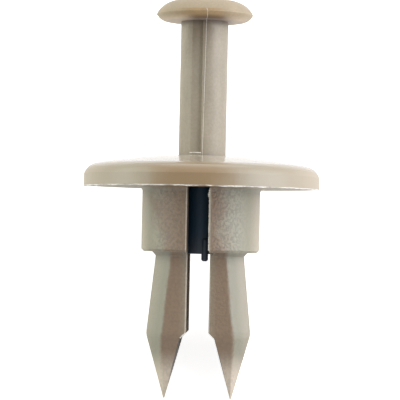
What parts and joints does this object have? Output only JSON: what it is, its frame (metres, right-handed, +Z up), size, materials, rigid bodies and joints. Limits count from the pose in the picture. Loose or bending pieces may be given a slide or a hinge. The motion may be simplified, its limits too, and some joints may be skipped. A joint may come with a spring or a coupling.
{
  "type": "plastic push rivet",
  "caption": "Plastic push rivet: a domed flange and slotted collar with two pointed legs, and a mushroom-headed pin that is pressed in to hold the legs apart.",
  "frame": {"origin": "on the surface the rivet lies on, under the middle of its outline", "axes": "+Z up; the rivet lies on the back edge of its flange and the backs of its two points, with its head towards +Y and raised, so its own axis leans up from the surface by about 29 degrees in the YZ plane"},
  "size_m": [0.02, 0.031, 0.0194],
  "materials": {
    "beige_nylon": "moulded beige nylon, fine spark-eroded grain",
    "black_nylon": "moulded black nylon, smooth"
  },
  "bodies": {
    "grommet": {"grommet_body": "beige_nylon"},
    "pin": {"push_pin": "beige_nylon", "pin_core": "black_nylon"}
  },
  "joints": [
    {"name": "pin_slide", "type": "slide", "parent": "grommet", "child": "pin", "axis": [0, -0.8761, -0.4821], "range_m": [0, 0.01128]}
  ]
}
